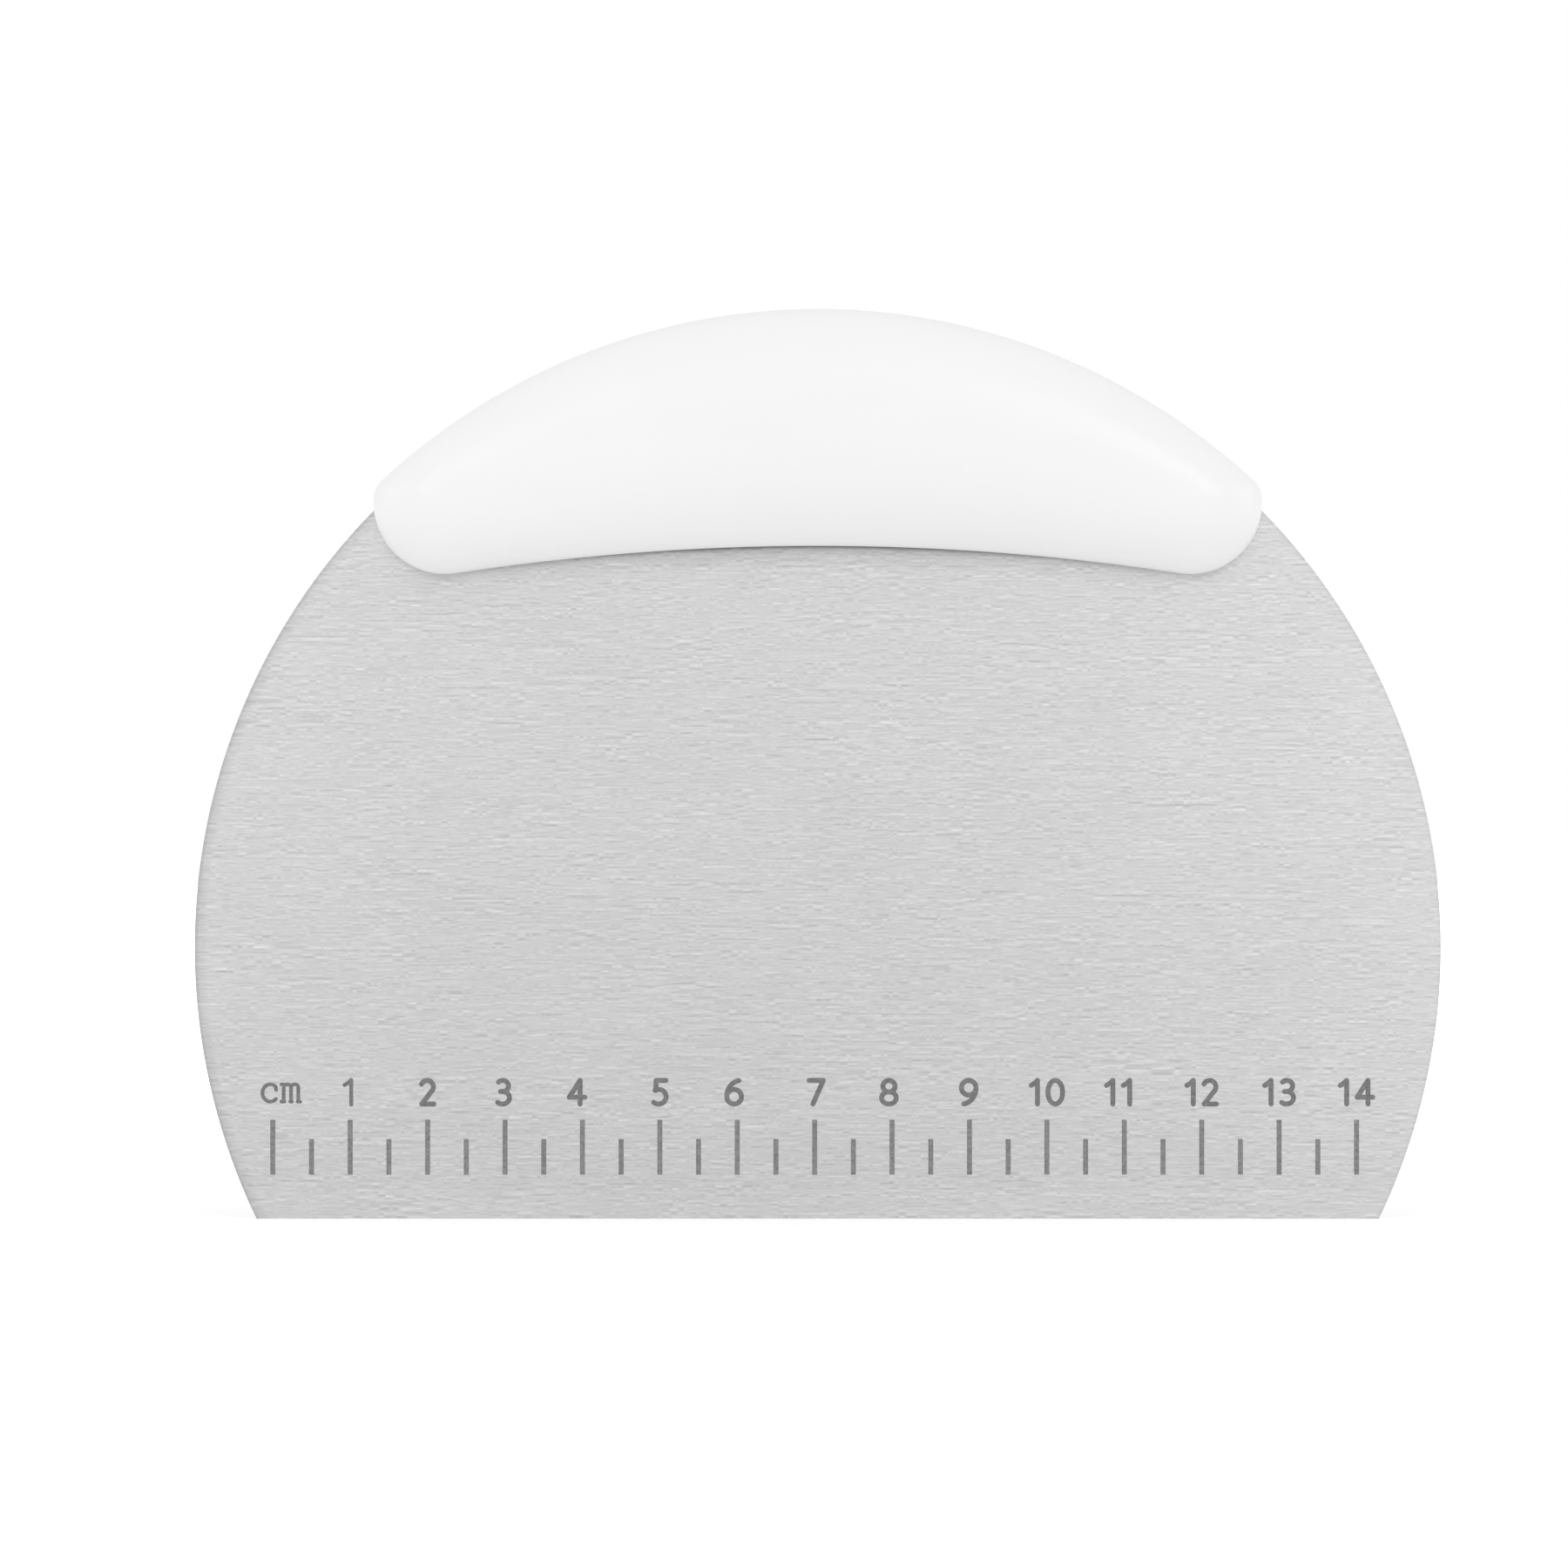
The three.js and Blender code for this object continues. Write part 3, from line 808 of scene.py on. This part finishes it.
class Crescent:
    """The handle's lines as seen from the front: its outline and the ridge halfway between top and lip."""

    def __init__(self, blade, handle):
        self.handle = handle
        self.rim_middle = blade.edge_drop
        self.rim_radius = blade.radius + handle.rim
        self.lip_middle = self.rim_middle + self.rim_radius - handle.height - handle.lip_radius
        self.half_width = self.rim_radius * math.sin(handle.span / 2)
        self.ridge_reach = self.half_width - handle.ridge_stop
        crest = self.halfway(0)
        end = self.halfway(self.ridge_reach)
        self.ridge_radius = (self.ridge_reach ** 2 + (crest - end) ** 2) / (2 * (crest - end))
        self.ridge_middle = crest - self.ridge_radius
        self.ridge_angle = math.atan2(end - self.ridge_middle, self.ridge_reach)

    def halfway(self, x):
        """Height halfway between the top and the lip."""
        top = self.rim_middle + math.sqrt(self.rim_radius ** 2 - x ** 2)
        lip = self.lip_middle + math.sqrt(self.handle.lip_radius ** 2 - x ** 2)
        return (top + lip) / 2

    def ridge_height(self, x):
        """Height of the ridge at a distance from the middle."""
        return self.ridge_middle + math.sqrt(self.ridge_radius ** 2 - x ** 2)

    def outline(self, inset):
        """Closely set points along the outline, drawn in by an inset, anticlockwise from the front."""
        side = self.half_width - inset
        top_radius = self.rim_radius - inset
        lip_radius = self.handle.lip_radius + inset
        shoulder = max(self.handle.shoulder_radius - inset, LEAST_RADIUS)
        corner = max(self.handle.corner_radius - inset, LEAST_RADIUS)
        top_angle = math.acos((side - shoulder) / (top_radius - shoulder))
        lip_angle = math.acos((side - corner) / (lip_radius + corner))
        shoulder_z = self.rim_middle + (top_radius - shoulder) * math.sin(top_angle)
        corner_z = self.lip_middle + (lip_radius + corner) * math.sin(lip_angle)
        arcs = [
            (side - corner, corner_z, corner, lip_angle - math.pi, 0),
            (side - shoulder, shoulder_z, shoulder, 0, top_angle),
            (0, self.rim_middle, top_radius, top_angle, math.pi - top_angle),
            (shoulder - side, shoulder_z, shoulder, math.pi - top_angle, math.pi),
            (corner - side, corner_z, corner, math.pi, 2 * math.pi - lip_angle),
            (0, self.lip_middle, lip_radius, math.pi - lip_angle, lip_angle),
        ]
        points = []
        for x, z, radius, start, stop in arcs:
            angles = np.linspace(start, stop, ARC_POINTS)
            points.append(np.stack([x + radius * np.cos(angles), z + radius * np.sin(angles)], axis=1))
        return np.concatenate(points)

    def rays(self):
        """Pairs of a ridge point and a direction, once round the ridge: right end, top, left end, lip."""
        left_angle = math.pi - self.ridge_angle
        along = np.linspace(self.ridge_angle, left_angle, RIDGE_POINTS)
        fan = np.linspace(0, math.pi, FAN_POINTS)[1:-1]
        pairs = [(self.ridge_angle, self.ridge_angle - math.pi + turn) for turn in fan]
        pairs += [(angle, angle) for angle in along]
        pairs += [(left_angle, left_angle + turn) for turn in fan]
        pairs += [(angle, angle + math.pi) for angle in along[::-1]]
        for angle, direction in pairs:
            outward = np.array((math.cos(angle), math.sin(angle)))
            foot = outward * self.ridge_radius + (0, self.ridge_middle)
            yield foot, np.array((math.cos(direction), math.sin(direction)))

    def ring(self, inset):
        """The outline as a ring of points that each know their foot on the ridge."""
        outline = self.outline(inset)
        sides = np.roll(outline, -1, axis=0) - outline
        points, feet = [], []
        for foot, ahead in self.rays():
            reach = first_hit(foot, ahead, outline, sides)
            x, z = foot + ahead * reach
            points.append((x, 0, z))
            feet.append((foot[0], 0, foot[1]))
        count = len(points)
        mesh = bpy.data.meshes.new("outline")
        mesh.from_pydata(points, [(i, (i + 1) % count) for i in range(count)], [])
        layer = mesh.attributes.new(FOOT_LAYER, "FLOAT_VECTOR", "POINT")
        layer.data.foreach_set("vector", np.array(feet, np.float32).ravel())
        return mesh


def first_hit(foot, ahead, starts, sides):
    """Distance from a point along a direction to the first side of an outline that it meets."""
    to_start = starts - foot
    turn = ahead[0] * sides[:, 1] - ahead[1] * sides[:, 0]
    turn = np.where(np.abs(turn) < PARALLEL, PARALLEL, turn)
    reach = (to_start[:, 0] * sides[:, 1] - to_start[:, 1] * sides[:, 0]) / turn
    share = (to_start[:, 0] * ahead[1] - to_start[:, 1] * ahead[0]) / turn
    hits = reach[(share >= -SIDE_SLACK) & (share <= 1 + SIDE_SLACK) & (reach > NEAREST_HIT)]
    if not len(hits):
        raise RuntimeError("the handle's ridge doesn't lie inside its outline")
    return float(hits.min())


CROWN_INPUTS = {
    "Rows": "count", "Base": "length", "Lip break": "length", "Top break": "length",
    "Lip side": "length", "Top side": "length", "Ridge": "length", "Ridge end": "length",
    "Ridge reach": "length", "Lip spread": "number", "Top spread": "number", "Lip lift": "number",
    "Top lift": "number", "Finish": "finish",
}
# Powers of the crown's section: full and round towards the top, sloping towards the lip
CROWN_POWERS = {"Lip spread": 2.0, "Top spread": 2.6, "Lip lift": 1.3, "Top lift": 2.2}
CROWN_ROWS = 36
BASE_ROWS = 3.0  # rows before the crown: middle and edge of the base, and the end of its broken edge
ROW_ENDS = (0.5, 1.5, 2.5)  # between those rows
AT_RIDGE = 0.9999  # share of the crown's rows from which a point lies on the ridge


def crown_tree():
    """A closed body over an outline: flat base, straight sides and a crown that rises to the ridge."""
    tree, given = new_tree("Crescent crown", CROWN_INPUTS)
    ring = given["Geometry"]
    count = wire(tree, "GeometryNodeAttributeDomainSize", ring)
    columns, rows = [sums(tree, "ADD", size, 1.0) for size in (count, given["Rows"])]
    sheet = wire(tree, "GeometryNodeMeshGrid", count, given["Rows"], columns, rows)

    position = wire(tree, "GeometryNodeInputPosition")
    x, y, _ = wire(tree, "ShaderNodeSeparateXYZ", position).node.outputs
    column, row = [
        sums(tree, "ROUND", sums(tree, "ADD", place, sums(tree, "MULTIPLY", size, 0.5)))
        for place, size in ((x, count), (y, given["Rows"]))]
    number = wire(tree, "FunctionNodeIntegerMath", column, count, operation="MODULO")
    named = wire(tree, "GeometryNodeInputNamedAttribute", FOOT_LAYER, data_type="FLOAT_VECTOR")
    edge, foot = [
        wire(tree, "GeometryNodeSampleIndex", ring, value, number, data_type="FLOAT_VECTOR")
        for value in (position, named)]

    arm = vectors(tree, "SUBTRACT", edge, foot)
    reach = vectors(tree, "LENGTH", arm).node.outputs["Value"]
    arm_rise = wire(tree, "ShaderNodeSeparateXYZ", arm).node.outputs["Z"]
    upward = ramp(tree, sums(tree, "DIVIDE", arm_rise, reach), -1, 1, 0, 1)
    spread_power, lift_power, side, edge_break = [
        blend(tree, upward, given["Lip " + size], given["Top " + size])
        for size in ("spread", "lift", "side", "break")]

    crown_rows = sums(tree, "SUBTRACT", given["Rows"], BASE_ROWS)
    share = sums(tree, "DIVIDE", sums(tree, "SUBTRACT", row, BASE_ROWS), crown_rows)
    turn = ramp(tree, share, 0, 1, 0, math.pi / 2)
    at_ridge = wire(tree, "FunctionNodeCompare", share, AT_RIDGE, operation="GREATER_THAN")
    cosine = choose(tree, at_ridge, sums(tree, "MAXIMUM", sums(tree, "COSINE", turn), 0.0), 0.0)
    spread = sums(tree, "POWER", cosine, sums(tree, "DIVIDE", 2.0, spread_power))
    lift = sums(tree, "POWER", sums(tree, "SINE", turn), sums(tree, "DIVIDE", 2.0, lift_power))
    foot_x = wire(tree, "ShaderNodeSeparateXYZ", foot).node.outputs["X"]
    outward = sums(tree, "ABSOLUTE", sums(tree, "DIVIDE", foot_x, given["Ridge reach"]))
    crest = blend(tree, sums(tree, "POWER", outward, 2.0), given["Ridge"], given["Ridge end"])
    depth = blend(tree, lift, side, crest)

    at_middle, on_base, on_break = [
        wire(tree, "FunctionNodeCompare", row, end, operation="LESS_THAN") for end in ROW_ENDS]
    drawn_in = sums(tree, "SUBTRACT", 1.0, sums(tree, "DIVIDE", edge_break, reach))
    spread = choose(tree, at_middle, choose(tree, on_base, spread, drawn_in), 0.0)
    depth = choose(tree, on_break, depth, sums(tree, "ADD", given["Base"], edge_break))
    depth = choose(tree, on_base, depth, given["Base"])

    flat = vectors(tree, "MULTIPLY", arm, wire(tree, "ShaderNodeCombineXYZ", spread, 0.0, spread))
    rise = wire(tree, "ShaderNodeCombineXYZ", 0.0, sums(tree, "MULTIPLY", depth, -1.0), 0.0)
    spot = vectors(tree, "ADD", foot, vectors(tree, "ADD", flat, rise))
    shaped = wire(tree, "GeometryNodeSetPosition", sheet, None, spot)
    welded = wire(tree, "GeometryNodeMergeByDistance", shaped, None, WELD)
    close_tree(tree, welded, given["Finish"])
    return tree


def crown(tree, crescent, inset, base, depths, finish, breaks=(0.0, 0.0)):
    """One crowned body; the depths are the lip's side, the top's side, the ridge and the ridge's ends."""
    lip_side, top_side, ridge, ridge_end = depths
    lip_break, top_break = breaks
    values = {
        "Rows": CROWN_ROWS, "Base": base, "Lip break": lip_break, "Top break": top_break,
        "Lip side": lip_side, "Top side": top_side, "Ridge": ridge, "Ridge end": ridge_end,
        "Ridge reach": crescent.ridge_reach, "Finish": finish, **CROWN_POWERS,
    }
    return grow("crown", tree, values, crescent.ring(inset))


def peg_places(fixing, crescent):
    """Places (x, z) of the pegs, side by side on the ridge."""
    steps = [(i - (fixing.pegs - 1) / 2) * fixing.spacing for i in range(fixing.pegs)]
    return [(x, crescent.ridge_height(x)) for x in steps]


def shell_body(settings, crescent, finish):
    """A hollow shell with a seat for half the blade, a post behind each peg and ribs between the posts."""
    blade, handle, fixing = settings.blade, settings.handle, settings.fixing
    tree = crown_tree()
    seat = blade.thickness / 2 + fixing.seat_clearance
    gap = handle.parting_gap / 2
    ridge, ridge_end = handle.thickness / 2, handle.ridge_end_thickness / 2
    depths = (handle.lip_thickness / 2, handle.top_thickness / 2, ridge, ridge_end)
    breaks = (handle.lip_break, handle.parting_break)
    outside = crown(tree, crescent, 0, gap, depths, finish, breaks)
    mid_wall, hollow = [
        crown(tree, crescent, inset, base, (seat, seat, ridge - inset, ridge_end - inset), finish)
        for inset, base in ((handle.wall / 2, gap), (handle.wall, -CUT_PAST))]
    places = peg_places(fixing, crescent)
    posts = bars(fixing.post_diameter, 0, -handle.thickness, places)
    rib_places = [
        ((left + right) / 2, -ridge / 2, crescent.ridge_height(0))
        for (left, _), (right, _) in zip(places, places[1:])]
    ribs = blocks((fixing.rib_thickness, 2 * handle.thickness, 2 * handle.height), rib_places)
    supports = [combine(part, "INTERSECT", [mid_wall.copy()]) for part in (posts, ribs)]
    disc_diameter = 2 * (blade.radius + fixing.rim_clearance)
    disc = bars(disc_diameter, CUT_PAST, -seat, [(0, blade.edge_drop)], SEAT_FACETS)
    shell = combine(outside, "DIFFERENCE", [hollow])
    shell = combine(shell, "UNION", supports)
    return combine(shell, "DIFFERENCE", [disc])


# Operators

SENSOR_WIDTH = 36  # of the camera, in millimetres
LAMP_AIM = Vector((0, 0, 0.06))  # middle of the tool
# Soft boxes: name, place, side and power in watts
LAMPS = (
    ("Left front lamp", (-0.4, -1.15, 0.45), 0.3, 0.85),
    ("Right front lamp", (0.4, -1.15, 0.45), 0.3, 1.3),
    ("Left side lamp", (-0.9, -0.4, 0.3), 0.5, 1.05),
    ("Right side lamp", (0.9, -0.4, 0.3), 0.5, 1.0),
)


def settings_of(context):
    """The settings that the scene keeps."""
    return context.scene.dough_cutter


class DOUGHCUTTER_OT_blade(bpy.types.Operator):
    """Make the ground steel blade with its peg holes"""

    bl_idname = "dough_cutter.make_blade"
    bl_label = "Blade"

    def execute(self, context):
        settings = settings_of(context)
        blade, fixing = settings.blade, settings.fixing
        places = peg_places(fixing, Crescent(blade, settings.handle))
        holes = bars(fixing.peg_diameter + 2 * fixing.clearance, CUT_PAST, -CUT_PAST, places)
        mesh = combine(blade_body(blade), "DIFFERENCE", [holes])
        place_piece("steel_blade", mesh, steel_finish(settings), ["blade"])
        return {"FINISHED"}


class DOUGHCUTTER_OT_scale(bpy.types.Operator):
    """Etch the scale's lines and numerals into the blade"""

    bl_idname = "dough_cutter.etch_scale"
    bl_label = "Scale"

    def execute(self, context):
        settings = settings_of(context)
        blade, scale = settings.blade, settings.scale
        face = -blade.thickness / 2
        floor = face + scale.etch_depth
        line_finish = etched_finish("Etched line", settings.finish.etched_line)
        word_finish = etched_finish("Etched word", settings.finish.etched_word)
        line_sizes = {
            "Lines": 2 * scale.centimetres + 1, "Spacing": CENTIMETRE / 2, "Shift": scale.shift,
            "Foot": scale.foot, "Long line": scale.long_line, "Short line": scale.short_line,
            "Line width": scale.line_width, "Finish": line_finish,
        }
        cut = {"Floor": floor, "Front": face - CUT_PAST, "Finish": word_finish}
        fill = {"Floor": floor, "Front": face + scale.etch_hollow, "Finish": word_finish}
        line_tree, word_tree = scale_line_tree(), stroke_tree()
        words = mark_words(scale)
        piece = bpy.data.objects["steel_blade"]
        etch(piece, grow("line_cut", line_tree, {**cut, **line_sizes}))
        etch(piece, grow("word_cut", word_tree, cut, words.copy()))
        check_closed("etched blade", piece.data)
        smooth(piece.data)
        lay_brushing(piece.data, blade)
        lines = grow("scale_lines", line_tree, {**fill, **line_sizes})
        numerals = grow("scale_numerals", word_tree, fill, words)
        place_piece("scale_lines", lines, line_finish)
        place_piece("scale_numerals", numerals, word_finish)
        return {"FINISHED"}


class DOUGHCUTTER_OT_handle(bpy.types.Operator):
    """Mould the two shells of the handle"""

    bl_idname = "dough_cutter.make_handle"
    bl_label = "Handle"

    def execute(self, context):
        settings = settings_of(context)
        handle, fixing = settings.handle, settings.fixing
        crescent = Crescent(settings.blade, handle)
        finish = plastic_finish(settings)
        shell = shell_body(settings, crescent, finish)
        places = peg_places(fixing, crescent)
        socket_depth = handle.ridge_end_thickness / 2 - handle.wall
        peg_end = socket_depth - fixing.end_room
        sockets = bars(fixing.peg_diameter + 2 * fixing.clearance, CUT_PAST, -socket_depth, places)
        rear = combine(shell.copy(), "DIFFERENCE", [sockets])
        rear.transform(Matrix.Rotation(math.pi, 4, "Z"))
        front = combine(shell, "UNION", [bars(fixing.peg_diameter, peg_end, -peg_end, places)])
        place_piece("front_shell", front, finish, ["handle_front"])
        place_piece("rear_shell", rear, finish, ["handle_rear"])
        return {"FINISHED"}


class DOUGHCUTTER_OT_stage(bpy.types.Operator):
    """Set the floor, the light and the camera"""

    bl_idname = "dough_cutter.set_stage"
    bl_label = "Stage"

    def execute(self, context):
        settings = settings_of(context)
        scene = context.scene
        scene.view_settings.view_transform = "Standard"
        self.lay_floor(scene, settings)
        self.set_sky(scene, settings.stage)
        for name, place, size, power in LAMPS:
            self.hang_lamp(scene, name, Vector(place), size, power)
        self.set_camera(scene, settings.stage)
        return {"FINISHED"}

    def lay_floor(self, scene, settings):
        """A square floor under the cutting edge."""
        half = settings.stage.floor_size / 2
        corners = [(-half, -half, 0), (half, -half, 0), (half, half, 0), (-half, half, 0)]
        mesh = bpy.data.meshes.new("floor")
        mesh.from_pydata(corners, [], [(0, 1, 2, 3)])
        mesh.materials.append(floor_finish(settings))
        floor = bpy.data.objects.new("floor", mesh)
        scene.collection.objects.link(floor)

    def set_sky(self, scene, stage):
        """White all round for the eye and for mirrors, softer on matt surfaces."""
        world = bpy.data.worlds.new("Soft white")
        world.use_nodes = True
        tree = world.node_tree
        strength = blend(tree, seen_directly(tree), stage.sky_light, 1.0)
        feed(tree, tree.nodes["Background"], {"Color": WHITE, "Strength": strength})
        world.cycles.sampling_method = "NONE"
        scene.world = world

    def hang_lamp(self, scene, name, place, size, power):
        """A square soft box that looks at the middle of the tool and stays out of the picture."""
        lamp = bpy.data.lights.new(name, "AREA")
        lamp.shape = "SQUARE"
        lamp.size = size
        lamp.energy = power
        box = bpy.data.objects.new(name, lamp)
        box.location = place
        box.rotation_euler = (LAMP_AIM - place).to_track_quat("-Z", "Y").to_euler()
        box.visible_camera = False
        scene.collection.objects.link(box)

    def set_camera(self, scene, stage):
        """Level, straight at the face with the scale."""
        lens = bpy.data.cameras.new("Camera")
        lens.sensor_width = SENSOR_WIDTH
        lens.lens = SENSOR_WIDTH * stage.camera_distance / stage.view_width
        camera = bpy.data.objects.new("Camera", lens)
        camera.location = Vector(stage.view_middle) - Vector((0, stage.camera_distance, 0))
        camera.rotation_euler = (math.pi / 2, 0, 0)
        scene.collection.objects.link(camera)
        scene.camera = camera


class DOUGHCUTTER_PT_panel(bpy.types.Panel):
    """Sizes, colours and the steps of making"""

    bl_idname = "DOUGHCUTTER_PT_panel"
    bl_label = "Dough cutter"
    bl_space_type = "VIEW_3D"
    bl_region_type = "UI"
    bl_category = "Dough cutter"

    def draw(self, context):
        settings = settings_of(context)
        for group in ("blade", "scale", "handle", "fixing", "finish", "stage"):
            box = self.layout.box()
            box.label(text=group.capitalize())
            sizes = getattr(settings, group)
            for name in sizes.__annotations__:
                box.prop(sizes, name)
        for operator in OPERATORS:
            self.layout.operator(operator.bl_idname)


SIZE_GROUPS = (BladeSizes, ScaleSizes, HandleSizes, FixingSizes, Finishes, StageSizes, DoughCutterSettings)
OPERATORS = (DOUGHCUTTER_OT_stage, DOUGHCUTTER_OT_blade, DOUGHCUTTER_OT_scale, DOUGHCUTTER_OT_handle)
CLASSES = (*SIZE_GROUPS, *OPERATORS, DOUGHCUTTER_PT_panel)


def register():
    """Makes the classes known and gives the scene its settings."""
    for item in CLASSES:
        bpy.utils.register_class(item)
    bpy.types.Scene.dough_cutter = PointerProperty(type=DoughCutterSettings)


def unregister():
    """Takes the settings and the classes away again."""
    del bpy.types.Scene.dough_cutter
    for item in reversed(CLASSES):
        bpy.utils.unregister_class(item)


def main():
    """Makes the whole scene."""
    register()
    bpy.ops.dough_cutter.set_stage()
    bpy.ops.dough_cutter.make_blade()
    bpy.ops.dough_cutter.etch_scale()
    bpy.ops.dough_cutter.make_handle()


if __name__ == "__main__":
    main()
